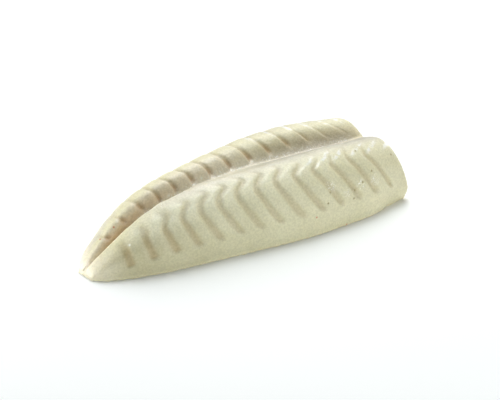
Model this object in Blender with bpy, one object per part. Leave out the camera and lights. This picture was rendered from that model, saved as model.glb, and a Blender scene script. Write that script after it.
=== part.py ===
"""Pureed matjes herring, moulded as a double fillet.

One soft solid of fish puree, turned out of a mould onto its flat underside.
Two long lobes lie side by side with a shallow valley between them. They start
at a blunt, narrow tail and end in a broad, nearly square shoulder. Wavy grooves
cross each lobe, one for each flake of the fillet.

Lengths are in metres. +X runs from the tail to the wide end, +Z is up, and the
origin is the middle of the underside.
"""

import math

import bmesh
import bpy
import numpy as np

MM = 0.001

NAME = "herring_puree"
COLLECTION = "pureed_matjes_herring"

LENGTH = 130.0 * MM

# Loft stations in millimetres: distance from the tail tip, half width, height of
# a lobe's crest, depth of the valley below it, and the crest's distance from the
# centre line.
STATIONS_MM = (
    (0.0, 4.0, 4.4, 0.5, 0.9),
    (3.0, 7.0, 6.0, 1.1, 1.6),
    (7.0, 9.1, 9.0, 2.4, 2.4),
    (16.0, 12.9, 15.7, 4.8, 4.0),
    (24.0, 15.2, 19.8, 5.2, 4.9),
    (33.0, 17.2, 22.6, 5.2, 5.6),
    (50.0, 20.0, 24.7, 4.3, 7.0),
    (66.0, 23.0, 25.4, 4.4, 9.0),
    (82.0, 25.2, 25.8, 5.2, 10.3),
    (98.0, 25.8, 25.4, 5.6, 10.7),
    (111.0, 25.6, 23.8, 5.2, 10.6),
    (121.0, 23.9, 22.5, 4.3, 9.8),
    (130.0, 22.8, 21.4, 3.0, 9.0),
)

# The side is a superellipse, boxier at the tail, that ends in an upright band above the
# base. The band is tucked in a little at its foot, and more at the wide end.
ROUND_POWERS = (2.3, 2.16)
ROUNDS_OUT = (25.0 * MM, 70.0 * MM)
BAND_HEIGHT = 4.2 * MM
BAND_MOST = 0.5
TUCKS = (0.25 * MM, 1.3 * MM)
TUCK_HEIGHTS = (1.0 * MM, 4.2 * MM)
TUCK_FROM = 0.9
TUCK_GROWS = (104.0 * MM, 122.0 * MM)

# Both lobes are domed down to the valley. Past the tail the valley's foot moves to the
# +Y lobe, which keeps a steep flank there, and the -Y lobe slopes down gently. Towards
# the wide end the foot comes back.
VALLEY_OPENS = (14.0 * MM, 60.0 * MM)
FOOT_SHIFTS = (1.4 * MM, 0.6 * MM)
FOOT_RETURNS = (66.0 * MM, 96.0 * MM)
DOME_POWERS = (1.35, 1.9)
TAIL_DOME_POWER = 2.0
FOOT_ROUNDING = 0.1

# The tail rounds off into a thin lip at its foot.
NOSE_LENGTH = 4.5 * MM
NOSE_POWER = 2.0
NOSE_MOST = 0.993
LIP = 0.7 * MM

# The wide end turns down over this length, more squarely on the +Y lobe, and its plan
# corners draw in.
END_LENGTH = 6.9 * MM
END_POWERS = (2.9, 3.3)
END_BLEND = 0.15
CORNER_INSET = 0.9 * MM

# Grooves: place of the first at its most forward point, spacing and its growth. They are
# wider on the tail's -Y side and narrower on the +Y lobe.
GROOVES = 14
FIRST_GROOVE = 11.3 * MM
PITCH = 7.11 * MM
PITCH_GROWTH = 0.053 * MM
GROOVE_DEPTH = 0.7 * MM
GROOVE_WIDTH = 1.2 * MM
TAIL_WIDENING = 0.3
FAR_NARROWING = 0.25

# The flakes between the grooves are crowned on the -Y and the +Y lobe, most towards
# the wide end of each flake, and more on the +Y lobe's inner flank.
CROWNS = (0.15 * MM, 0.2 * MM)
CROWN_SKEWS = (1.4, 1.9)
FLANK_CROWN = 0.3 * MM
FLANK_CROWN_SIDE = (0.17, 0.09)

# A groove's run, as shares of the skin from the valley's foot (0) to the base edge (1).
# On the +Y lobe it starts with a pit at the foot, whose share differs along the lobe.
RUN_START = 0.10
RUN_FADE = 0.05
RUN_ENDS = (0.77, 0.82)
PIT_SHARES = (0.15, 0.068, 0.125)
PIT_NEARS = (19.0 * MM, 33.0 * MM)
PIT_LEAVES = (62.0 * MM, 90.0 * MM)
PIT_SPREAD = 0.07
PIT_DEPTH = 0.15 * MM
PIT_GROWS = (20.0 * MM, 40.0 * MM)
PIT_FADES = (70.0 * MM, 96.0 * MM)

# Where the grooves are fainter: on the tail's crests, on the -Y lobe's inner flank, and
# on the +Y lobe's crest and wide end.
TAIL_FADES = (14.0 * MM, 60.0 * MM)
TAIL_LOSS = 0.7
TAIL_CREST = (0.27, 0.12)
TAIL_OUTSIDE = (0.26, 0.42)
FLANK_STRENGTH = 0.2
FLANK_SIDE = (0.25, 0.40)
FLANK_SHIFT = 0.10
FLANK_SHIFTS = (62.0 * MM, 90.0 * MM)
CREST_LOSS = 0.45
CREST_LOSES = (0.16, 0.30)
WIDE_LOSS = 0.75
WIDE_LOSES = (84.0 * MM, 108.0 * MM)

HOOK_AT = 0.335
WIDE_HOOK_SHIFT = 0.035
HOOK_SPREAD = 0.068

# How far a groove leans towards the wide end at the valley, at its hook and down
# the side. The hook is on the -Y lobe. On the +Y lobe the groove crosses the crest
# in one sweep, first a little behind and then ahead of its place.
VALLEY_LEAN = 7.0 * MM
VALLEY_LEANS = (72.0 * MM, 104.0 * MM)
VALLEY_SIDE = (0.16, 0.44)
VALLEY_BLEND = 0.05
HOOK_LEAN = 4.0 * MM
HOOK_BACK = 0.7 * MM
BACK_AT = 0.48
HOOK_GROWS = (8.0 * MM, 45.0 * MM)
HOOK_FADES = (84.0 * MM, 104.0 * MM)
HOOK_SETTLES = (18.0 * MM, 42.0 * MM)
TAIL_HOOK_SHIFT = 0.07
SIDE_LEAN = (7.2 * MM, 9.2 * MM)
SIDE_RUN = (0.46, 0.83)
SIDE_POWERS = (1.7, 1.0)
SIDE_STRAIGHTENS = (64.0 * MM, 96.0 * MM)
SIDE_GROWS = (0.0, 50.0 * MM)
SIDE_WIDENS = (62.0 * MM, 80.0 * MM)
SWEEP_LEAN = (2.2 * MM, 4.5 * MM)
SWEEP_GROWS = (80.0 * MM, 110.0 * MM)
SWEEP_SIDE = (0.05, 0.27)
SWEEP_SHIFT = (-1.4 * MM, 4.1 * MM)
SHIFT_TURNS = (44.0 * MM, 94.0 * MM)
CREST_SIDE = (0.38, 0.52)
LEAN_ENDS = (113.0 * MM, 126.5 * MM)

# Mesh: shares of the skin that carry a column, and rows beside each groove.
COLUMNS = (
    0.0, 0.05, 0.10, 0.15, 0.20, 0.25, 0.29, 0.33, 0.37, 0.42,
    0.48, 0.54, 0.60, 0.66, 0.72, 0.77, 0.81, 0.86, 0.93, 0.975, 1.0,
)
TAIL_ROWS = (0.0, 0.03, 0.10, 0.21, 0.37, 0.57, 0.79)
GROOVE_ROWS = (-1.7 * MM, -0.8 * MM, 0.0, 0.8 * MM, 1.7 * MM)
SHOULDER_ROWS = 2
END_ROWS = 7
SECTION_POINTS = 72
PROBE = 0.05 * MM
SHARE_PROBE = 0.002

PUREE_COLOUR = (0.66, 0.62, 0.47, 1.0)
PUREE_ROUGHNESS = 0.42
PUREE_SUBSURFACE = 0.15


def ramp(value, start, end):
    """Rise from 0 to 1 between start and end, straight."""
    return np.clip((value - start) / (end - start), 0.0, 1.0)


def ease(value, start, end):
    """Rise from 0 to 1 between start and end, with soft ends."""
    t = ramp(value, start, end)
    return t * t * (3.0 - 2.0 * t)


def bell(value, middle, spread):
    """A smooth bump of height 1."""
    return np.exp(-(((value - middle) / spread) ** 2))


def fair_curve(column):
    """Return a smooth function of x through one column of the stations, without overshoot."""
    xs = np.array([row[0] for row in STATIONS_MM]) * MM
    ys = np.array([row[column] for row in STATIONS_MM]) * MM
    secant = np.diff(ys) / np.diff(xs)
    before, after = secant[:-1], secant[1:]
    same_way = before * after > 0.0
    total = np.where(same_way, before + after, 1.0)
    inner = np.where(same_way, 2.0 * before * after / total, 0.0)
    slope = np.concatenate(([secant[0]], inner, [secant[-1]]))

    def at(x):
        i = np.clip(np.searchsorted(xs, x) - 1, 0, len(xs) - 2)
        span = xs[i + 1] - xs[i]
        t = (x - xs[i]) / span
        rise = ys[i] + (ys[i + 1] - ys[i]) * t * t * (3.0 - 2.0 * t)
        bend = span * t * (1.0 - t) * (slope[i] * (1.0 - t) - slope[i + 1] * t)
        return rise + bend

    return at


half_width = fair_curve(1)
crest_height = fair_curve(2)
valley_depth = fair_curve(3)
crest_offset = fair_curve(4)


def groove_place(number):
    """Distance from the tail tip to groove number 0, 1, 2 and so on."""
    return FIRST_GROOVE + PITCH * number + PITCH_GROWTH * number**2


def half_section(x, side):
    """Offsets and heights of a lobe's section at x, from the valley's foot to the base edge."""
    x, side = x[:, None], side[:, None]
    half, crest, offset = half_width(x), crest_height(x), crest_offset(x)
    band = np.minimum(BAND_HEIGHT, crest * BAND_MOST)

    gentle, steep = DOME_POWERS
    opened = ease(x, *VALLEY_OPENS)
    power = TAIL_DOME_POWER + (np.where(side < 0.0, gentle, steep) - TAIL_DOME_POWER) * opened
    far, near = FOOT_SHIFTS
    foot = np.where(side < 0.0, -1.0, 1.0) * (far + (near - far) * ease(x, *FOOT_RETURNS)) * opened
    u = np.linspace(0.0, 1.0, SECTION_POINTS // 3, endpoint=False)[None, :]
    rounded = np.hypot(u, FOOT_ROUNDING) - FOOT_ROUNDING
    rise = rounded / (math.hypot(1.0, FOOT_ROUNDING) - FOOT_ROUNDING)
    inner_offset = foot + (offset - foot) * u
    inner_height = crest - valley_depth(x) * (1.0 - rise) ** power

    boxy, round_ = ROUND_POWERS
    bulge = boxy + (round_ - boxy) * ease(x, *ROUNDS_OUT)
    s = np.sin(np.linspace(0.0, math.pi / 2.0, SECTION_POINTS))[None, :]
    outer_offset = offset + (half - offset) * s
    outer_height = band + (crest - band) * (1.0 - s**bulge) ** (1.0 / bulge)

    offsets = np.concatenate((inner_offset, outer_offset, half), axis=1)
    heights = np.concatenate((inner_height, outer_height, 0.0 * half), axis=1)
    return offsets, heights


def skin(x, share):
    """Points of the smooth skin: share runs from -1 at the -Y base edge over 0 to 1 at the +Y one."""
    offsets, heights = half_section(x, share)
    steps = np.hypot(np.diff(offsets, axis=1), np.diff(heights, axis=1))
    way = np.concatenate((np.zeros((len(x), 1)), np.cumsum(steps, axis=1)), axis=1)
    target = np.abs(share) * way[:, -1]
    rows = range(len(x))
    y = np.array([np.interp(target[i], way[i], offsets[i]) for i in rows])
    z = np.array([np.interp(target[i], way[i], heights[i]) for i in rows])

    nose = NOSE_MOST * (1.0 - ramp(x, 0.0, NOSE_LENGTH))
    z = np.where(z > LIP, LIP + (z - LIP) * (1.0 - nose**NOSE_POWER) ** (1.0 / NOSE_POWER), z)
    band = np.minimum(BAND_HEIGHT, crest_height(x) * BAND_MOST)
    end = ramp(x, LENGTH - END_LENGTH, LENGTH)
    power = END_POWERS[0] + (END_POWERS[1] - END_POWERS[0]) * ease(share, -END_BLEND, END_BLEND)
    stands = (1.0 - end**power) ** (1.0 / power)
    z = np.where(z > band, band + (z - band) * stands, z)
    y = y * (1.0 - CORNER_INSET / half_width(x) * (1.0 - stands))
    wide = ease(x, *TUCK_GROWS)
    tuck, height = (low + (high - low) * wide for low, high in (TUCKS, TUCK_HEIGHTS))
    y = y - tuck * (1.0 - ramp(z, 0.0, height)) ** 2 * ramp(np.abs(share), TUCK_FROM, 1.0)
    x = x - TUCKS[1] * end * (1.0 - ramp(z, 0.0, band))
    return np.stack((x, np.where(share < 0.0, -y, y), z), axis=1)


def lean(place, share):
    """How far towards the wide end the skin at this share lies from a groove's forward point."""
    away = np.abs(share)
    hooked = ease(place, *HOOK_GROWS) * (1.0 - ease(place, *HOOK_FADES))
    hook_at = HOOK_AT + WIDE_HOOK_SHIFT * ease(place, *FLANK_SHIFTS)
    hook_at = hook_at + TAIL_HOOK_SHIFT * (1.0 - ease(place, *HOOK_SETTLES))
    hook = HOOK_LEAN * bell(away, hook_at, HOOK_SPREAD) - HOOK_BACK * bell(away, BACK_AT, HOOK_SPREAD)
    valley = VALLEY_LEAN * ramp(place, *VALLEY_LEANS) * (1.0 - ease(away, *VALLEY_SIDE))
    with_hook = valley + hooked * hook

    low, high = SWEEP_LEAN
    behind, ahead = SWEEP_SHIFT
    sweep = (low + (high - low) * ease(place, *SWEEP_GROWS)) * (1.0 - ease(away, *SWEEP_SIDE))
    shift = behind + (ahead - behind) * ease(place, *SHIFT_TURNS)
    swept = sweep + shift * (1.0 - ease(away, *CREST_SIDE)) * ramp(place, 0.0, FIRST_GROOVE)

    tail, wide = SIDE_LEAN
    power = SIDE_POWERS[0] + (SIDE_POWERS[1] - SIDE_POWERS[0]) * ease(place, *SIDE_STRAIGHTENS)
    amount = tail * ease(place, *SIDE_GROWS) + (wide - tail) * ease(place, *SIDE_WIDENS)
    side = amount * ramp(away, *SIDE_RUN) ** power
    over_valley = ease(share, -VALLEY_BLEND, VALLEY_BLEND)
    across = with_hook + (swept - with_hook) * over_valley
    return (across + side) * (1.0 - ramp(place, *LEAN_ENDS))


def pit_share(place):
    """Share of the skin where the +Y lobe's groove at this place has its pit."""
    tail, middle, wide = PIT_SHARES
    return tail + (middle - tail) * ease(place, *PIT_NEARS) + (wide - middle) * ease(place, *PIT_LEAVES)


def groove_strength(place, share):
    """Share of the full depth that a groove has here."""
    away = np.abs(share)
    start = np.where(share < 0.0, RUN_START, pit_share(place) - PIT_SPREAD)
    along = ramp(away, start, start + RUN_FADE) * (1.0 - ramp(away, *RUN_ENDS))
    loss = TAIL_LOSS * (1.0 - ease(place, *TAIL_FADES))
    flank_ends = away - FLANK_SHIFT * ease(place, *FLANK_SHIFTS)
    flank = FLANK_STRENGTH + (1.0 - FLANK_STRENGTH) * ease(flank_ends, *FLANK_SIDE)
    right = (1.0 - loss * bell(away, *TAIL_CREST)) * flank
    crest = (1.0 - CREST_LOSS * ease(away, *CREST_LOSES)) * (1.0 - WIDE_LOSS * ease(place, *WIDE_LOSES))
    left = (1.0 - loss * ease(away, *TAIL_OUTSIDE)) * crest
    return along * np.where(share < 0.0, right, left)


def groove_cut(place, share, slant, nearest):
    """Share of the full depth at this distance from the nearest groove's middle line."""
    wider = np.where(share < 0.0, TAIL_WIDENING * (1.0 - ease(place, *TAIL_FADES)), -FAR_NARROWING)
    return bell(nearest * slant, 0.0, GROOVE_WIDTH * (1.0 + wider))


def groove_relief(place, share, slant):
    """Height of the relief: grooves cut in, with softly crowned flakes between them.

    Slant is 1 where a groove crosses the body and falls to 0 as it turns along it, so that
    the groove keeps its width.
    """
    centres = np.array([groove_place(number) for number in range(GROOVES)])
    behind = np.clip(np.searchsorted(centres, place) - 1, 0, GROOVES - 2)
    between = ramp(place, centres[behind], centres[behind + 1])
    nearest = np.minimum(np.abs(place - centres[behind]), np.abs(place - centres[behind + 1]))
    cut = groove_cut(place, share, slant, nearest)
    pit = PIT_DEPTH * ease(place, *PIT_GROWS) * (1.0 - ease(place, *PIT_FADES))
    depth = GROOVE_DEPTH + pit * bell(share, pit_share(place), PIT_SPREAD)
    height = np.where(share < 0.0, *CROWNS) + FLANK_CROWN * bell(share, *FLANK_CROWN_SIDE)
    crown = height * np.sin(math.pi * between ** np.where(share < 0.0, *CROWN_SKEWS))
    return groove_strength(place, share) * (crown * (1.0 - cut) - depth * cut)


def body_points(places, shares):
    """Points of the skin with its relief, as an array of rows, columns and x, y, z."""
    place, share = (a.ravel() for a in np.meshgrid(places, shares, indexing="ij"))
    x = np.clip(place + lean(place, share), 0.0, LENGTH)
    ahead, behind = np.minimum(x + PROBE, LENGTH), np.maximum(x - PROBE, 0.0)
    left, right = np.minimum(share + SHARE_PROBE, 1.0), np.maximum(share - SHARE_PROBE, -1.0)
    across = skin(x, left) - skin(x, right)
    normal = np.cross(skin(ahead, share) - skin(behind, share), across)
    normal /= np.linalg.norm(normal, axis=1)[:, None]
    width = np.linalg.norm(across, axis=1)
    slant = width / np.hypot(width, lean(place, left) - lean(place, right))

    point = skin(x, share) + normal * groove_relief(place, share, slant)[:, None]
    point[np.abs(share) == 1.0, 2] = 0.0
    point[:, 0] -= LENGTH / 2.0
    return point.reshape(len(places), len(shares), 3)


def row_places():
    """Places of the mesh rows: tail, five at each groove and one between, shoulder and end."""
    first = groove_place(0) + GROOVE_ROWS[0]
    places = [first * share for share in TAIL_ROWS]
    for number in range(GROOVES):
        places += [groove_place(number) + offset for offset in GROOVE_ROWS]
        if number < GROOVES - 1:
            places.append((groove_place(number) + groove_place(number + 1)) / 2.0)
    turn = LENGTH - END_LENGTH
    step = (turn - places[-1]) / (SHOULDER_ROWS + 1)
    places += [places[-1] + step * (i + 1) for i in range(SHOULDER_ROWS)]
    places += [turn + END_LENGTH * math.sin(math.pi / 2.0 * i / END_ROWS) for i in range(END_ROWS + 1)]
    return np.array(places)


def body_mesh():
    """A grid laid over the body and shaped to it, closed by a tail face, an end face and a flat base."""
    places = row_places()
    shares = np.array([-share for share in COLUMNS[:0:-1]] + list(COLUMNS))
    points = body_points(places, shares)
    rows, columns = len(places) - 1, len(shares) - 1

    bm = bmesh.new()
    bmesh.ops.create_grid(bm, x_segments=rows, y_segments=columns, size=0.5)
    grid = {}
    for vert in bm.verts:
        i = round((vert.co.x + 0.5) * rows)
        j = round((vert.co.y + 0.5) * columns)
        grid[i, j] = vert
        vert.co = points[i, j]

    tail_outline = [grid[0, j] for j in range(columns + 1)]
    end_outline = [grid[rows, j] for j in range(columns, -1, -1)]
    left_edge = [grid[i, columns] for i in range(rows + 1)]
    right_edge = [grid[i, 0] for i in range(rows, -1, -1)]
    bm.faces.new(tail_outline)
    bm.faces.new(end_outline)
    bm.faces.new(left_edge + right_edge)

    mesh = bpy.data.meshes.new(NAME)
    bm.normal_update()
    bm.to_mesh(mesh)
    bm.free()
    mesh.shade_smooth()
    return mesh


def puree_material():
    """Pale, moist fish puree: ivory, slightly translucent."""
    material = bpy.data.materials.new("fish_puree")
    material.use_nodes = True
    shader = material.node_tree.nodes["Principled BSDF"]
    shader.inputs["Base Color"].default_value = PUREE_COLOUR
    shader.inputs["Roughness"].default_value = PUREE_ROUGHNESS
    shader.inputs["Metallic"].default_value = 0.0
    shader.inputs["Subsurface Weight"].default_value = PUREE_SUBSURFACE
    material.diffuse_color = PUREE_COLOUR
    return material


def build():
    for old in list(bpy.data.objects):
        bpy.data.objects.remove(old, do_unlink=True)

    collection = bpy.data.collections.new(COLLECTION)
    bpy.context.scene.collection.children.link(collection)

    body = bpy.data.objects.new(NAME, body_mesh())
    body.data.materials.append(puree_material())
    collection.objects.link(body)


build()
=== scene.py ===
"""Looks of a moulded portion of pureed matjes herring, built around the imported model."""

import math

import bpy
import numpy as np
from mathutils import Matrix, Vector, noise


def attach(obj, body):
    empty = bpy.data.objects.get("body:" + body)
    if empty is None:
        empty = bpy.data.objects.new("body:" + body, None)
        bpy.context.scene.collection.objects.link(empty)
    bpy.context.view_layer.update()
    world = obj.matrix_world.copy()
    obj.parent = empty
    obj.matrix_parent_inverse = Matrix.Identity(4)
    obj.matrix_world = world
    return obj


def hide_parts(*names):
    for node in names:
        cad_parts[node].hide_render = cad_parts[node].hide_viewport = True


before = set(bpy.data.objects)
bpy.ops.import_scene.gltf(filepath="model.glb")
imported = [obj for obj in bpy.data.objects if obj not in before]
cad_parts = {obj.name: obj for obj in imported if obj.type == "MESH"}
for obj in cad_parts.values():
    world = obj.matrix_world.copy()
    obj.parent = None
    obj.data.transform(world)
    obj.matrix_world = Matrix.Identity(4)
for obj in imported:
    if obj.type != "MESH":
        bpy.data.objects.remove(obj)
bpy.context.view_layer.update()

# The moulded body
# One soft block of ivory fish puree, turned out of a silicone mould: two lobes
# with a valley between them and a wavy groove for every flake of the fillet.
# The mould gives the broad form, and the chopped fish gives a fine, moist grain.
MM = 0.001
LENGTH = 130.0 * MM

# Loft stations in millimetres: distance from the tail tip, half width, height of
# a lobe's crest, depth of the valley below it, and the crest's distance from the
# centre line.
STATIONS_MM = (
    (0.0, 4.0, 4.4, 0.5, 0.9),
    (3.0, 7.0, 6.0, 1.1, 1.6),
    (7.0, 9.1, 9.0, 2.4, 2.4),
    (16.0, 12.9, 15.7, 4.8, 4.0),
    (24.0, 15.2, 19.8, 5.2, 4.9),
    (33.0, 17.2, 22.6, 5.2, 5.6),
    (50.0, 20.0, 24.7, 4.3, 7.0),
    (66.0, 23.0, 25.4, 4.4, 9.0),
    (82.0, 25.2, 25.8, 5.2, 10.3),
    (98.0, 25.8, 25.4, 5.6, 10.7),
    (111.0, 25.6, 23.8, 5.2, 10.6),
    (121.0, 23.9, 22.5, 4.3, 9.8),
    (130.0, 22.8, 21.4, 3.0, 9.0),
)

# The side is a superellipse, boxier at the tail, that ends in an upright band above the
# base. The band is tucked in a little at its foot, and more at the wide end.
ROUND_POWERS = (2.3, 2.16)
ROUNDS_OUT = (25.0 * MM, 70.0 * MM)
BAND_HEIGHT = 4.2 * MM
BAND_MOST = 0.5
TUCKS = (0.25 * MM, 1.3 * MM)
TUCK_HEIGHTS = (1.0 * MM, 4.2 * MM)
TUCK_FROM = 0.9
TUCK_GROWS = (104.0 * MM, 122.0 * MM)

# Both lobes are domed down to the valley. Past the tail the valley's foot moves to the
# +Y lobe, which keeps a steep flank there, and the -Y lobe slopes down gently. Towards
# the wide end the foot comes back.
VALLEY_OPENS = (14.0 * MM, 60.0 * MM)
FOOT_SHIFTS = (1.4 * MM, 0.6 * MM)
FOOT_RETURNS = (66.0 * MM, 96.0 * MM)
DOME_POWERS = (1.35, 1.9)
TAIL_DOME_POWER = 2.0
FOOT_ROUNDING = 0.1

# The tail rounds off into a thin lip at its foot.
NOSE_LENGTH = 4.5 * MM
NOSE_POWER = 2.0
NOSE_MOST = 0.993
LIP = 0.7 * MM

# The wide end turns down over this length, more squarely on the +Y lobe, and its plan
# corners draw in.
END_LENGTH = 6.9 * MM
END_POWERS = (2.9, 3.3)
END_BLEND = 0.15
CORNER_INSET = 0.9 * MM

# Grooves: place of the first at its most forward point, spacing and its growth. They are
# wider on the tail's -Y side and narrower on the +Y lobe.
GROOVES = 14
FIRST_GROOVE = 11.3 * MM
PITCH = 7.11 * MM
PITCH_GROWTH = 0.053 * MM
GROOVE_DEPTH = 0.7 * MM
GROOVE_WIDTH = 1.2 * MM
TAIL_WIDENING = 0.3
FAR_NARROWING = 0.25

# The flakes between the grooves are crowned on the -Y and the +Y lobe, most towards
# the wide end of each flake, and more on the +Y lobe's inner flank.
CROWNS = (0.15 * MM, 0.2 * MM)
CROWN_SKEWS = (1.4, 1.9)
FLANK_CROWN = 0.3 * MM
FLANK_CROWN_SIDE = (0.17, 0.09)

# A groove's run, as shares of the skin from the valley's foot (0) to the base edge (1).
# On the +Y lobe it starts with a pit at the foot, whose share differs along the lobe.
RUN_START = 0.10
RUN_FADE = 0.05
RUN_ENDS = (0.77, 0.82)
PIT_SHARES = (0.15, 0.068, 0.125)
PIT_NEARS = (19.0 * MM, 33.0 * MM)
PIT_LEAVES = (62.0 * MM, 90.0 * MM)
PIT_SPREAD = 0.07
PIT_DEPTH = 0.15 * MM
PIT_GROWS = (20.0 * MM, 40.0 * MM)
PIT_FADES = (70.0 * MM, 96.0 * MM)

# Where the grooves are fainter: on the tail's crests, on the -Y lobe's inner flank, and
# on the +Y lobe's crest and wide end.
TAIL_FADES = (14.0 * MM, 60.0 * MM)
TAIL_LOSS = 0.7
TAIL_CREST = (0.27, 0.12)
TAIL_OUTSIDE = (0.26, 0.42)
FLANK_STRENGTH = 0.2
FLANK_SIDE = (0.25, 0.40)
FLANK_SHIFT = 0.10
FLANK_SHIFTS = (62.0 * MM, 90.0 * MM)
CREST_LOSS = 0.45
CREST_LOSES = (0.16, 0.30)
WIDE_LOSS = 0.75
WIDE_LOSES = (84.0 * MM, 108.0 * MM)

HOOK_AT = 0.335
WIDE_HOOK_SHIFT = 0.035
HOOK_SPREAD = 0.068

# How far a groove leans towards the wide end at the valley, at its hook and down
# the side. The hook is on the -Y lobe. On the +Y lobe the groove crosses the crest
# in one sweep, first a little behind and then ahead of its place.
VALLEY_LEAN = 7.0 * MM
VALLEY_LEANS = (72.0 * MM, 104.0 * MM)
VALLEY_SIDE = (0.16, 0.44)
VALLEY_BLEND = 0.05
HOOK_LEAN = 4.0 * MM
HOOK_BACK = 0.7 * MM
BACK_AT = 0.48
HOOK_GROWS = (8.0 * MM, 45.0 * MM)
HOOK_FADES = (84.0 * MM, 104.0 * MM)
HOOK_SETTLES = (18.0 * MM, 42.0 * MM)
TAIL_HOOK_SHIFT = 0.07
SIDE_LEAN = (7.2 * MM, 9.2 * MM)
SIDE_RUN = (0.46, 0.83)
SIDE_POWERS = (1.7, 1.0)
SIDE_STRAIGHTENS = (64.0 * MM, 96.0 * MM)
SIDE_GROWS = (0.0, 50.0 * MM)
SIDE_WIDENS = (62.0 * MM, 80.0 * MM)
SWEEP_LEAN = (2.2 * MM, 4.5 * MM)
SWEEP_GROWS = (80.0 * MM, 110.0 * MM)
SWEEP_SIDE = (0.05, 0.27)
SWEEP_SHIFT = (-1.4 * MM, 4.1 * MM)
SHIFT_TURNS = (44.0 * MM, 94.0 * MM)
CREST_SIDE = (0.38, 0.52)
LEAN_ENDS = (113.0 * MM, 126.5 * MM)

BODY_ROWS = 396
END_ROWS = 22
SIDE_COLUMNS = 98
EDGE_COLUMNS = 14
EDGE_SHARE = 0.955
SECTION_POINTS = 96


def ramp(value, start, end):
    """Rise from 0 to 1 between start and end, straight."""
    return np.clip((value - start) / (end - start), 0.0, 1.0)


def ease(value, start, end):
    """Rise from 0 to 1 between start and end, with soft ends."""
    t = ramp(value, start, end)
    return t * t * (3.0 - 2.0 * t)


def bell(value, middle, spread):
    """A smooth bump of height 1."""
    return np.exp(-(((value - middle) / spread) ** 2))


def fair_curve(column):
    """Return a smooth function of x through one column of the stations, without overshoot."""
    xs = np.array([row[0] for row in STATIONS_MM]) * MM
    ys = np.array([row[column] for row in STATIONS_MM]) * MM
    secant = np.diff(ys) / np.diff(xs)
    before, after = secant[:-1], secant[1:]
    same_way = before * after > 0.0
    total = np.where(same_way, before + after, 1.0)
    inner = np.where(same_way, 2.0 * before * after / total, 0.0)
    slope = np.concatenate(([secant[0]], inner, [secant[-1]]))

    def at(x):
        i = np.clip(np.searchsorted(xs, x) - 1, 0, len(xs) - 2)
        span = xs[i + 1] - xs[i]
        t = (x - xs[i]) / span
        rise = ys[i] + (ys[i + 1] - ys[i]) * t * t * (3.0 - 2.0 * t)
        bend = span * t * (1.0 - t) * (slope[i] * (1.0 - t) - slope[i + 1] * t)
        return rise + bend

    return at


half_width = fair_curve(1)
crest_height = fair_curve(2)
valley_depth = fair_curve(3)
crest_offset = fair_curve(4)


def groove_place(number):
    """Distance from the tail tip to groove number 0, 1, 2 and so on."""
    return FIRST_GROOVE + PITCH * number + PITCH_GROWTH * number**2


def half_section(x, side):
    """Offsets and heights of a lobe's section at x, from the valley's foot to the base edge."""
    x, side = x[:, None], side[:, None]
    half, crest, offset = half_width(x), crest_height(x), crest_offset(x)
    band = np.minimum(BAND_HEIGHT, crest * BAND_MOST)

    gentle, steep = DOME_POWERS
    opened = ease(x, *VALLEY_OPENS)
    power = TAIL_DOME_POWER + (np.where(side < 0.0, gentle, steep) - TAIL_DOME_POWER) * opened
    far, near = FOOT_SHIFTS
    foot = np.where(side < 0.0, -1.0, 1.0) * (far + (near - far) * ease(x, *FOOT_RETURNS)) * opened
    u = np.linspace(0.0, 1.0, SECTION_POINTS // 3, endpoint=False)[None, :]
    rounded = np.hypot(u, FOOT_ROUNDING) - FOOT_ROUNDING
    rise = rounded / (math.hypot(1.0, FOOT_ROUNDING) - FOOT_ROUNDING)
    inner_offset = foot + (offset - foot) * u
    inner_height = crest - valley_depth(x) * (1.0 - rise) ** power

    boxy, round_ = ROUND_POWERS
    bulge = boxy + (round_ - boxy) * ease(x, *ROUNDS_OUT)
    s = np.sin(np.linspace(0.0, math.pi / 2.0, SECTION_POINTS))[None, :]
    outer_offset = offset + (half - offset) * s
    outer_height = band + (crest - band) * (1.0 - s**bulge) ** (1.0 / bulge)

    offsets = np.concatenate((inner_offset, outer_offset, half), axis=1)
    heights = np.concatenate((inner_height, outer_height, 0.0 * half), axis=1)
    return offsets, heights


def skin(x, share):
    """Points of the smooth skin: share runs from -1 at the -Y base edge over 0 to 1 at the +Y one."""
    offsets, heights = half_section(x, share)
    steps = np.hypot(np.diff(offsets, axis=1), np.diff(heights, axis=1))
    way = np.concatenate((np.zeros((len(x), 1)), np.cumsum(steps, axis=1)), axis=1)
    target = np.abs(share) * way[:, -1]
    rows = range(len(x))
    y = np.array([np.interp(target[i], way[i], offsets[i]) for i in rows])
    z = np.array([np.interp(target[i], way[i], heights[i]) for i in rows])

    nose = NOSE_MOST * (1.0 - ramp(x, 0.0, NOSE_LENGTH))
    z = np.where(z > LIP, LIP + (z - LIP) * (1.0 - nose**NOSE_POWER) ** (1.0 / NOSE_POWER), z)
    band = np.minimum(BAND_HEIGHT, crest_height(x) * BAND_MOST)
    end = ramp(x, LENGTH - END_LENGTH, LENGTH)
    power = END_POWERS[0] + (END_POWERS[1] - END_POWERS[0]) * ease(share, -END_BLEND, END_BLEND)
    stands = (1.0 - end**power) ** (1.0 / power)
    z = np.where(z > band, band + (z - band) * stands, z)
    y = y * (1.0 - CORNER_INSET / half_width(x) * (1.0 - stands))
    wide = ease(x, *TUCK_GROWS)
    tuck, height = (low + (high - low) * wide for low, high in (TUCKS, TUCK_HEIGHTS))
    y = y - tuck * (1.0 - ramp(z, 0.0, height)) ** 2 * ramp(np.abs(share), TUCK_FROM, 1.0)
    x = x - TUCKS[1] * end * (1.0 - ramp(z, 0.0, band))
    return np.stack((x, np.where(share < 0.0, -y, y), z), axis=1)


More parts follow.
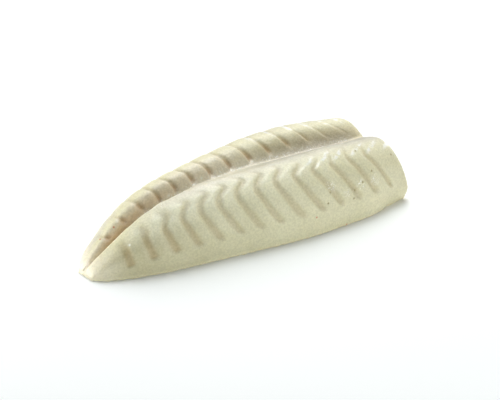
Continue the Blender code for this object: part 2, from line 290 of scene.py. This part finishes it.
def lean(place, share):
    """How far towards the wide end the skin at this share lies from a groove's forward point."""
    away = np.abs(share)
    hooked = ease(place, *HOOK_GROWS) * (1.0 - ease(place, *HOOK_FADES))
    hook_at = HOOK_AT + WIDE_HOOK_SHIFT * ease(place, *FLANK_SHIFTS)
    hook_at = hook_at + TAIL_HOOK_SHIFT * (1.0 - ease(place, *HOOK_SETTLES))
    hook = HOOK_LEAN * bell(away, hook_at, HOOK_SPREAD) - HOOK_BACK * bell(away, BACK_AT, HOOK_SPREAD)
    valley = VALLEY_LEAN * ramp(place, *VALLEY_LEANS) * (1.0 - ease(away, *VALLEY_SIDE))
    with_hook = valley + hooked * hook

    low, high = SWEEP_LEAN
    behind, ahead = SWEEP_SHIFT
    sweep = (low + (high - low) * ease(place, *SWEEP_GROWS)) * (1.0 - ease(away, *SWEEP_SIDE))
    shift = behind + (ahead - behind) * ease(place, *SHIFT_TURNS)
    swept = sweep + shift * (1.0 - ease(away, *CREST_SIDE)) * ramp(place, 0.0, FIRST_GROOVE)

    tail, wide = SIDE_LEAN
    power = SIDE_POWERS[0] + (SIDE_POWERS[1] - SIDE_POWERS[0]) * ease(place, *SIDE_STRAIGHTENS)
    amount = tail * ease(place, *SIDE_GROWS) + (wide - tail) * ease(place, *SIDE_WIDENS)
    side = amount * ramp(away, *SIDE_RUN) ** power
    over_valley = ease(share, -VALLEY_BLEND, VALLEY_BLEND)
    across = with_hook + (swept - with_hook) * over_valley
    return (across + side) * (1.0 - ramp(place, *LEAN_ENDS))


def pit_share(place):
    """Share of the skin where the +Y lobe's groove at this place has its pit."""
    tail, middle, wide = PIT_SHARES
    return tail + (middle - tail) * ease(place, *PIT_NEARS) + (wide - middle) * ease(place, *PIT_LEAVES)


def groove_strength(place, share):
    """Share of the full depth that a groove has here."""
    away = np.abs(share)
    start = np.where(share < 0.0, RUN_START, pit_share(place) - PIT_SPREAD)
    along = ramp(away, start, start + RUN_FADE) * (1.0 - ramp(away, *RUN_ENDS))
    loss = TAIL_LOSS * (1.0 - ease(place, *TAIL_FADES))
    flank_ends = away - FLANK_SHIFT * ease(place, *FLANK_SHIFTS)
    flank = FLANK_STRENGTH + (1.0 - FLANK_STRENGTH) * ease(flank_ends, *FLANK_SIDE)
    right = (1.0 - loss * bell(away, *TAIL_CREST)) * flank
    crest = (1.0 - CREST_LOSS * ease(away, *CREST_LOSES)) * (1.0 - WIDE_LOSS * ease(place, *WIDE_LOSES))
    left = (1.0 - loss * ease(away, *TAIL_OUTSIDE)) * crest
    return along * np.where(share < 0.0, right, left)


def groove_cut(place, share, slant, nearest):
    """Share of the full depth at this distance from the nearest groove's middle line."""
    wider = np.where(share < 0.0, TAIL_WIDENING * (1.0 - ease(place, *TAIL_FADES)), -FAR_NARROWING)
    return bell(nearest * slant, 0.0, GROOVE_WIDTH * (1.0 + wider))


def groove_relief(place, share, slant):
    """Height of the relief: grooves cut in, with softly crowned flakes between them.

    Slant is 1 where a groove crosses the body and falls to 0 as it turns along it, so that
    the groove keeps its width.
    """
    centres = np.array([groove_place(number) for number in range(GROOVES)])
    behind = np.clip(np.searchsorted(centres, place) - 1, 0, GROOVES - 2)
    between = ramp(place, centres[behind], centres[behind + 1])
    nearest = np.minimum(np.abs(place - centres[behind]), np.abs(place - centres[behind + 1]))
    cut = groove_cut(place, share, slant, nearest)
    pit = PIT_DEPTH * ease(place, *PIT_GROWS) * (1.0 - ease(place, *PIT_FADES))
    depth = GROOVE_DEPTH + pit * bell(share, pit_share(place), PIT_SPREAD)
    height = np.where(share < 0.0, *CROWNS) + FLANK_CROWN * bell(share, *FLANK_CROWN_SIDE)
    crown = height * np.sin(math.pi * between ** np.where(share < 0.0, *CROWN_SKEWS))
    return groove_strength(place, share) * (crown * (1.0 - cut) - depth * cut)


places = np.concatenate((
    np.linspace(0.0, LENGTH - END_LENGTH, BODY_ROWS, endpoint=False),
    LENGTH - END_LENGTH + END_LENGTH * np.sin(np.linspace(0.0, math.pi / 2.0, END_ROWS)),
))
half_shares = np.concatenate((
    np.linspace(0.0, EDGE_SHARE, SIDE_COLUMNS, endpoint=False),
    np.linspace(EDGE_SHARE, 1.0, EDGE_COLUMNS),
))
shares = np.concatenate((-half_shares[:0:-1], half_shares))
rows, columns = len(places), len(shares)

place, share = np.meshgrid(places, shares, indexing="ij")
leaned = lean(place.ravel(), share.ravel()).reshape(rows, columns)
along = np.clip(place + leaned, 0.0, LENGTH)
points = np.stack([skin(along[:, j], share[:, j]) for j in range(columns)], axis=1)
across = np.gradient(points, axis=1)
normals = np.cross(np.gradient(points, axis=0), across)
normals /= np.linalg.norm(normals, axis=2)[:, :, None]
section = np.hypot(across[:, :, 1], across[:, :, 2])
slant = section / np.hypot(section, np.gradient(leaned, axis=1))
relief = groove_relief(place.ravel(), share.ravel(), slant.ravel()).reshape(rows, columns)


NOISE_SHIFT = Vector((3.7, 1.3, 2.9))


def noise_over(cloud, size, seed):
    """Smooth noise from -1 to 1 at each point of a cloud, with lumps of about this size."""
    shift = NOISE_SHIFT * seed
    values = [noise.noise(Vector(p) / size + shift) for p in cloud.reshape(-1, 3)]
    return np.array(values).reshape(cloud.shape[:-1])


# Lumps and grain: what the chopped fish leaves on the moulded surface.
LUMPS = (0.16 * MM, 9.0 * MM)
GRAIN = (0.035 * MM, 1.1 * MM)
for seed, (height, size) in enumerate((LUMPS, GRAIN)):
    relief = relief + height * noise_over(points, size, seed)

# The rim of the underside is a little ragged where the mould was scraped level.
RIM_HEIGHT = 0.9 * MM
RIM_SIDE = (0.9, 0.96)
RIM_RAGGED = 0.5 * MM
RIM_SIZE = 1.7 * MM
RIM_SINK = 0.1
RIM_SEED = 5
level = points * (1.0, 1.0, 0.0)
rim = bell(points[:, :, 2], 0.0, RIM_HEIGHT) * ramp(np.abs(share), *RIM_SIDE)
relief += RIM_RAGGED * rim * (noise_over(level, RIM_SIZE, RIM_SEED) - RIM_SINK)


def within(value, starts, stops):
    """Rise softly from 0 to 1 over the first range and fall back over the second."""
    return ease(value, *starts) * (1.0 - ease(value, *stops))


# Grooves are painted darker than the skin, most on the tail's side, and their pits browner:
# partly their tan colour and partly painted shade in the creases and pits.
GROOVE_SHOWS = (0.08, 0.7)
GROOVE_COVERS = (0.44, 0.38)
DARK_SHOWS = (0.4, 0.9)
DARK_COVER = 0.8
TAIL_RUN = (4.0 * MM, 55.0 * MM)
SIDE_BEGINS = (0.38, 0.6)
PIT_LOSS = 0.6
tail = 1.0 - ease(place, *TAIL_RUN)
side = ease(-share, *SIDE_BEGINS)
centres = np.array([groove_place(number) for number in range(GROOVES)])
nearest = np.abs(place[:, :, None] - centres[None, None, :]).min(axis=2)
cut = groove_strength(place, share) * groove_cut(place, share, slant, nearest)
wide_cover, tail_cover = GROOVE_COVERS
groove = ramp(cut, *GROOVE_SHOWS) * (wide_cover + (tail_cover - wide_cover) * tail)
groove += ramp(cut, *DARK_SHOWS) * side * tail * DARK_COVER
pit = cut * bell(share, pit_share(place), PIT_SPREAD) * (1.0 - PIT_LOSS * ease(place, *PIT_FADES))

# The -Y lobe has a pinkish inner flank, partly its colour and partly a painted sheen, with
# painted shade in grey on it in the wide half, and painted light in cream on its crest. The +Y
# lobe has a brown inner wall, partly its colour and partly painted shade, with more painted
# shade on it in the wide half, painted light in cream on its knuckles at the tail and painted
# shade on its ridge. A pinkish painted sheen lies along the valley's foot.
FLANK_SIDE_RUN = ((-0.40, -0.20), (-0.06, 0.0))
FLANK_OPENS = (10.0 * MM, 40.0 * MM)
FLANK_SHADE_GROWS = (52.0 * MM, 84.0 * MM)
WALL_SIDE_RUN = ((-0.05, 0.0), (0.06, 0.24))
WALL_COVERS = (0.2, 0.9)
SHADE_RUN = ((60.0 * MM, 100.0 * MM), (108.0 * MM, 124.0 * MM))
VALLEY_ENDS = (124.0 * MM, 129.5 * MM)
SHEEN_SIDE = (0.01, 0.05)
SHEEN_RUN = ((12.0 * MM, 30.0 * MM), (104.0 * MM, 120.0 * MM))
LIT_CREST_SIDE = (-0.40, 0.14)
LIT_CREST_STARTS = (8.0 * MM, 22.0 * MM)
LIT_CREST_FADES = (70.0 * MM, 105.0 * MM)
LIT_CREST_LOSS = 0.6
TIP_ENDS = (2.0 * MM, 12.0 * MM)
KNUCKLE_SIDE = (0.0, 0.10)
KNUCKLE_LOSES = (0.16, 0.28)
KNUCKLE_LOSS = 0.9
KNUCKLE_ENDS = (56.0 * MM, 80.0 * MM)
RIDGE_SIDE_RUN = ((0.26, 0.44), (0.58, 0.78))
valley = 1.0 - ease(place, *VALLEY_ENDS)
flank = within(share, *FLANK_SIDE_RUN) * ease(place, *FLANK_OPENS) * valley
flank_shade = flank * ease(place, *FLANK_SHADE_GROWS)
wall = within(share, *WALL_SIDE_RUN) * valley
shade = wall * within(place, *SHADE_RUN)
wide_cover, tail_cover = WALL_COVERS
wall = wall * (wide_cover + (tail_cover - wide_cover) * tail)
foot_sheen = bell(share, *SHEEN_SIDE) * within(place, *SHEEN_RUN)
crest = bell(share, *LIT_CREST_SIDE) * ease(place, *LIT_CREST_STARTS)
crest = crest * (1.0 - LIT_CREST_LOSS * ease(place, *LIT_CREST_FADES))
knuckle = ease(share, *KNUCKLE_SIDE) * (1.0 - KNUCKLE_LOSS * ease(share, *KNUCKLE_LOSES))
knuckle = knuckle * (1.0 - ease(place, *KNUCKLE_ENDS))

# The flakes of the wide half have a wet lip on their wide-end edge, painted as a white highlight
# over a real coat: an oblique patch on the -Y lobe's shoulder and an arc on the +Y lobe's crest.
LIP_FLAKE = (0.60, 0.17)
LIP_SHOULDER = (-0.38, 0.055)
LIP_SLOPE = 6.0
LIP_STARTS = (76.0 * MM, 92.0 * MM)
ARC_FLAKE = (0.86, 0.13)
ARC_CREST = (0.29, 0.07)
ARC_STARTS = (60.0 * MM, 88.0 * MM)
HIGHLIGHT_SHOWS = (0.08, 0.6)
behind = np.clip(np.searchsorted(centres, place) - 1, 0, GROOVES - 2)
flake = (place - centres[behind]) / (centres[behind + 1] - centres[behind])
flake = flake - np.floor(flake)
lip = bell(flake - LIP_SLOPE * (share - LIP_SHOULDER[0]), *LIP_FLAKE) * bell(share, *LIP_SHOULDER)
arc = bell(flake, *ARC_FLAKE) * bell(share, *ARC_CREST)
wet_highlights = ramp(np.maximum(lip * ease(place, *LIP_STARTS), arc * ease(place, *ARC_STARTS)), *HIGHLIGHT_SHOWS)

points = points + normals * relief[:, :, None]
points[:, :, 0] -= LENGTH / 2.0
points[:, :, 2] = np.maximum(points[:, :, 2], 0.0)
points[:, 0, 2] = 0.0
points[:, -1, 2] = 0.0

SHARP_EDGE = math.radians(60.0)
index = np.arange(rows * columns).reshape(rows, columns)
quads = np.stack((index[:-1, :-1], index[1:, :-1], index[1:, 1:], index[:-1, 1:]), axis=-1)
faces = quads.reshape(-1, 4).tolist()
faces.append(index[0, :].tolist())
faces.append(index[-1, ::-1].tolist())
faces.append(index[:, -1].tolist() + index[::-1, 0].tolist())
body_mesh = bpy.data.meshes.new("puree_body")
body_mesh.from_pydata(points.reshape(-1, 3).tolist(), [], faces)
body_mesh.update()
body_mesh.shade_smooth()
body_mesh.set_sharp_from_angle(angle=SHARP_EDGE)
body = bpy.data.objects.new("puree_body", body_mesh)
bpy.context.scene.collection.objects.link(body)

# The puree is a clouded ivory. Over it lie the tints of the list, one after the other: each
# with its name, how much of it each point has, how well it covers, and its colour. Many of
# them are painted light or painted shade, wholly or in part.
IVORY = (0.615, 0.58, 0.38, 1.0)
PALE_IVORY = (0.665, 0.63, 0.425, 1.0)
# A lighter cream, painted as light on the knuckles and the tail tip.
PAINTED_LIGHT_CREAM = (0.74, 0.68, 0.52, 1.0)
TINTS = (
    # The olive tail side is partly its colour and partly painted shade.
    ("olive_and_shaded_side", side * tail, 0.45, (0.38, 0.325, 0.165, 1.0)),
    # Painted light on the -Y lobe's crest.
    ("painted_light_crest", crest, 0.85, (0.82, 0.79, 0.60, 1.0)),
    # Painted shade on the +Y lobe's ridge.
    ("painted_shade_ridge", within(share, *RIDGE_SIDE_RUN), 0.8, (0.48, 0.46, 0.39, 1.0)),
    # Painted light on the +Y lobe's knuckles at the tail.
    ("painted_light_knuckles", knuckle, 0.8, PAINTED_LIGHT_CREAM),
    # The pinkish flank is partly its colour and partly a painted sheen. Its grey part is painted shade.
    ("pink_flank_and_sheen", flank - flank_shade, 0.7, (0.58, 0.54, 0.445, 1.0)),
    ("shaded_flank", flank_shade, 0.9, (0.40, 0.375, 0.31, 1.0)),
    # The brown wall is partly its colour and partly painted shade. The shaded wall is painted shade.
    ("brown_and_shaded_wall", wall, 1.0, (0.60, 0.41, 0.25, 1.0)),
    ("shaded_wall", shade, 0.6, (0.36, 0.30, 0.20, 1.0)),
    # Painted light on the tail tip.
    ("painted_light_tip", 1.0 - ease(place, *TIP_ENDS), 0.65, PAINTED_LIGHT_CREAM),
    # Grooves and pits: partly their colour and partly painted shade in the recesses.
    ("beige_and_shaded_grooves", groove, 1.0, (0.46, 0.375, 0.20, 1.0)),
    ("brown_and_shaded_pits", pit, 0.6, (0.46, 0.27, 0.12, 1.0)),
    # The yellow rim is partly its colour and partly painted light.
    ("yellow_and_lit_rim", rim, 0.8, (0.86, 0.79, 0.54, 1.0)),
    # A painted sheen along the valley's foot.
    ("painted_sheen_foot", foot_sheen, 0.4, (0.84, 0.80, 0.72, 1.0)),
)


def paint(name, values):
    """Store one number for each vertex of the body, for the material to read."""
    layer = body_mesh.attributes.new(name, "FLOAT", "POINT")
    layer.data.foreach_set("value", values.ravel().astype(np.float32))


for name, values, _, _ in TINTS:
    paint(name, values)
paint("wet_lip_highlights", wet_highlights)


class Wire:
    """A socket of a material. Arithmetic on it adds Math nodes, and make adds any other node."""

    def __init__(self, tree, socket=None):
        self.tree = tree
        self.socket = socket

    def make(self, kind, settings=None, sockets=None, output=0):
        node = self.tree.nodes.new("ShaderNode" + kind)
        for name, value in (settings or {}).items():
            setattr(node, name, value)
        for name, value in (sockets or {}).items():
            if isinstance(value, Wire):
                self.tree.links.new(value.socket, node.inputs[name])
            else:
                node.inputs[name].default_value = value
        return Wire(self.tree, node.outputs[output])

    def maths(self, operation, *values):
        return self.make("Math", {"operation": operation}, dict(enumerate(values)))

    def __add__(self, other):
        return self.maths("ADD", self, other)

    def __sub__(self, other):
        return self.maths("SUBTRACT", self, other)

    def __rsub__(self, other):
        return self.maths("SUBTRACT", other, self)

    def __mul__(self, other):
        return self.maths("MULTIPLY", self, other)

    __radd__ = __add__
    __rmul__ = __mul__

    def between(self, low, high):
        """0 at low, 1 at high, and straight between them."""
        sockets = {"Value": self, "From Min": low, "From Max": high}
        return self.make("MapRange", {"clamp": True}, sockets)

    def mix(self, factor, first, second, blend="MIX"):
        """A colour between first and second, or first with second blended in."""
        settings = {"data_type": "RGBA", "blend_type": blend}
        return self.make("Mix", settings, {0: factor, 6: first, 7: second}, 2)

    def painted(self, name):
        """What paint stored under this name."""
        return self.make("Attribute", {"attribute_name": name}, output="Fac")

    def near(self, spots, radius):
        """1 at any of these points, falling to 0 at this radius."""
        total = 0.0
        for spot in spots:
            away = self.make("VectorMath", {"operation": "DISTANCE"}, {0: self, 1: spot}, 1)
            total = total + (1.0 - away.between(SPOT_CORE * radius, radius))
        return total

    def speckle(self, size, detail, low, high):
        """Noise with spots of about this size, stretched to run from 0 at low to 1 at high."""
        sockets = {"Vector": self, "Scale": 0.5 / size, "Detail": detail}
        return self.make("TexNoise", {}, sockets).between(low, high)


# Marks on the skin, each at a place in millimetres and a share of the skin: air pits that
# the mould left open, with painted shade in them, flecks of herring skin and blood, clusters of
# painted highlights and one painted glint.
AIR_PITS = (
    (109.1, -0.400),
    (124.1, -0.516),
    (108.2, -0.604),
    (101.0, -0.672),
    (96.1, -0.721),
    (93.3, -0.780),
    (86.4, -0.672),
    (82.7, -0.750),
)
FLECKS = ((10.3, 0.263), (14.9, 0.185), (75.2, -0.838), (88.6, -0.990))
HIGHLIGHT_CLUSTERS = (
    (28.6, -0.224),
    (38.2, 0.0),
    (88.3, -0.633),
    (92.3, -0.721),
    (99.8, -0.682),
    (106.9, -0.682),
)
GLINT = ((13.1, -0.468),)
AIR_RADIUS = 0.55 * MM
FLECK_RADIUS = 0.5 * MM
CLUSTER_RADIUS = 2.6 * MM
GLINT_RADIUS = 0.6 * MM
SPOT_CORE = 0.4


def on_skin(marks):
    """The points of the skin nearest to these marks."""
    rows_at = [np.abs(places - mark[0] * MM).argmin() for mark in marks]
    columns_at = [np.abs(shares - mark[1]).argmin() for mark in marks]
    return [tuple(points[i, j]) for i, j in zip(rows_at, columns_at)]


# Noise on the skin: the size of its spots, its detail, and the values it is stretched between.
CLOUDY = (9.0 * MM, 2.0, 0.38, 0.62)
GRAINY = (0.36 * MM, 3.0, 0.36, 0.64)
PORED = (0.4 * MM, 3.0, 0.0, 1.0)
DAMP = (5.0 * MM, 4.0, 0.45, 0.62)
RAGGED = (1.1 * MM, 4.0, 0.42, 0.56)
SHEEN_SPECKS = (0.35 * MM, 2.0, 0.56, 0.66)
GLITTERING = (0.24 * MM, 2.0, 0.56, 0.63)

HIGHLIGHT_WHITE = (0.92, 0.91, 0.84, 1.0)
AIR_SHADE_BROWN = (0.34, 0.27, 0.11, 1.0)
FLECK_RED = (0.52, 0.16, 0.07, 1.0)
GRAIN_DARK = (0.925, 0.925, 0.915, 1.0)
GRAIN_LIGHT = (1.075, 1.075, 1.085, 1.0)
HIGHLIGHT_COVER = 0.9
GLINT_COVER = 0.8
AIR_COVER = 0.75
FLECK_COVER = 0.8
DRY_ROUGHNESS = 0.46
DAMP_POLISH = 0.1
PORE_STRENGTH = 0.8
PORE_DEPTH = 0.2 * MM
SOFTNESS = {
    "Subsurface Weight": 0.2,
    "Subsurface Radius": (1.0, 0.8, 0.45),
    "Subsurface Scale": 2.0 * MM,
    "Specular IOR Level": 0.55,
    "Coat Roughness": 0.18,
    "Coat IOR": 1.6,
}

puree = bpy.data.materials.new("fish_puree")
puree.use_nodes = True
tree = puree.node_tree
shader = tree.nodes["Principled BSDF"]
wire = Wire(tree)
where = wire.make("TexCoord", output="Object")
colour = wire.mix(where.speckle(*CLOUDY), IVORY, PALE_IVORY)
for name, _, cover, tint in TINTS:
    colour = wire.mix(wire.painted(name) * cover, colour, tint)

# Painted highlights in white: on the wet lips, on specks of the sheen along the foot, in clusters and one
# glint. The coat gives real gloss at the same places.
lip_highlights = wire.painted("wet_lip_highlights") * where.speckle(*RAGGED)
glints = wire.painted("painted_sheen_foot") * where.speckle(*SHEEN_SPECKS)
glints = glints + where.near(on_skin(HIGHLIGHT_CLUSTERS), CLUSTER_RADIUS) * where.speckle(*GLITTERING)
glints = glints + where.near(on_skin(GLINT), GLINT_RADIUS)
colour = wire.mix(lip_highlights * HIGHLIGHT_COVER + glints * GLINT_COVER, colour, HIGHLIGHT_WHITE)
# Painted shade in the air pits, which are also dented by the bump.
air = where.near(on_skin(AIR_PITS), AIR_RADIUS)
colour = wire.mix(air * AIR_COVER, colour, AIR_SHADE_BROWN)
colour = wire.mix(where.near(on_skin(FLECKS), FLECK_RADIUS) * FLECK_COVER, colour, FLECK_RED)
grain = wire.mix(where.speckle(*GRAINY), GRAIN_DARK, GRAIN_LIGHT)
colour = wire.mix(1.0, colour, grain, "MULTIPLY")

pores = where.speckle(*PORED) - air
varied = {
    "Base Color": colour,
    "Roughness": DRY_ROUGHNESS - where.speckle(*DAMP) * DAMP_POLISH,
    "Normal": wire.make("Bump", {}, {"Strength": PORE_STRENGTH, "Distance": PORE_DEPTH, "Height": pores}),
    "Coat Weight": lip_highlights + glints,
}
for name, value in varied.items():
    tree.links.new(value.socket, shader.inputs[name])
for name, value in SOFTNESS.items():
    shader.inputs[name].default_value = value
body_mesh.materials.append(puree)

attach(body, "root")
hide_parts("herring_puree")

# The surface it lies on
# A plain matt board, so white that only the soft shadow shows on it. It is one wide sheet,
# a hair below the food so that the two don't share a plane.
FLOOR_SIZE = 4.0
FLOOR_DROP = 0.1 * MM
FLOOR_WHITE = (0.99, 1.0, 1.0, 1.0)
FLOOR_ROUGHNESS = 0.9
bpy.ops.mesh.primitive_plane_add(size=FLOOR_SIZE, location=(0.0, 0.0, -FLOOR_DROP))
floor = bpy.context.object
floor.name = "floor"
floor_paint = bpy.data.materials.new("white_floor")
floor_paint.use_nodes = True
floor_shader = floor_paint.node_tree.nodes["Principled BSDF"]
floor_shader.inputs["Base Color"].default_value = FLOOR_WHITE
floor_shader.inputs["Roughness"].default_value = FLOOR_ROUGHNESS
floor_shader.inputs["Specular IOR Level"].default_value = 0.0
floor.data.materials.append(floor_paint)

# Light and camera
# Large soft boxes all round, the strongest above and behind the food, and a weak, even
# light from the studio's walls.
TURN = math.radians(37.35)
WALLS = (0.93, 0.97, 1.0, 1.0)
WALLS_STRENGTH = 0.02
WHITE = (1.0, 1.0, 1.0)
COOL = (0.90, 1.0, 0.98)
PALE_COOL = (0.965, 1.0, 0.995)
WARM = (1.0, 0.97, 0.97)

# Each box: degrees round from the camera's side towards its right, metres away along the
# floor, metres high, width and height in metres, watts and colour.
BOXES = (
    ("top_box", 180.0, 0.15, 0.5, (0.3, 0.3), 2.1, PALE_COOL),
    ("back_box", 180.0, 0.38, 0.32, (0.3, 0.3), 1.2, WARM),
    ("back_panel", 150.0, 0.7, 0.17, (0.7, 0.3), 0.9, WHITE),
    ("left_strip", 270.0, 0.35, 0.036, (0.4, 0.07), 1.28, WHITE),
    ("right_strip", 63.0, 0.35, 0.036, (0.4, 0.07), 0.42, WHITE),
    ("front_box", 0.0, 0.495, 0.07, (0.3, 0.3), 0.7, COOL),
    ("right_box", 45.0, 0.41, 0.287, (0.3, 0.3), 0.16, WHITE),
)
world = bpy.data.worlds.new("studio")
bpy.context.scene.world = world
world.use_nodes = True
background = world.node_tree.nodes["Background"]
background.inputs["Color"].default_value = WALLS
background.inputs["Strength"].default_value = WALLS_STRENGTH
for name, around, away, high, size, power, colour in BOXES:
    turn = math.radians(around) - TURN - math.pi / 2.0
    place = Vector((math.cos(turn) * away, math.sin(turn) * away, high))
    light = bpy.data.lights.new(name, "AREA")
    light.shape = "RECTANGLE"
    light.size, light.size_y = size
    light.energy = power
    light.color = colour
    lamp = bpy.data.objects.new(name, light)
    bpy.context.scene.collection.objects.link(lamp)
    lamp.location = place
    lamp.rotation_euler = (-place).to_track_quat("-Z", "Y").to_euler()

# The camera looks down at the -Y side, from a little towards the tail.
TILT = math.radians(26.85)
DISTANCE = 0.910
ASIDE = 6.28 * MM
BELOW = 9.15 * MM
LENS = 179.0
SENSOR = 36.0
right = Vector((math.cos(TURN), -math.sin(TURN), 0.0))
up = Vector((math.sin(TURN) * math.sin(TILT), math.cos(TURN) * math.sin(TILT), math.cos(TILT)))
back = right.cross(up)
camera_data = bpy.data.cameras.new("camera")
camera_data.lens = LENS
camera_data.sensor_width = SENSOR
camera = bpy.data.objects.new("camera", camera_data)
bpy.context.scene.collection.objects.link(camera)
pose = Matrix((right, up, back)).transposed().to_4x4()
pose.translation = back * DISTANCE + right * ASIDE + up * BELOW
camera.matrix_world = pose
bpy.context.scene.camera = camera
bpy.context.scene.view_settings.view_transform = "Standard"
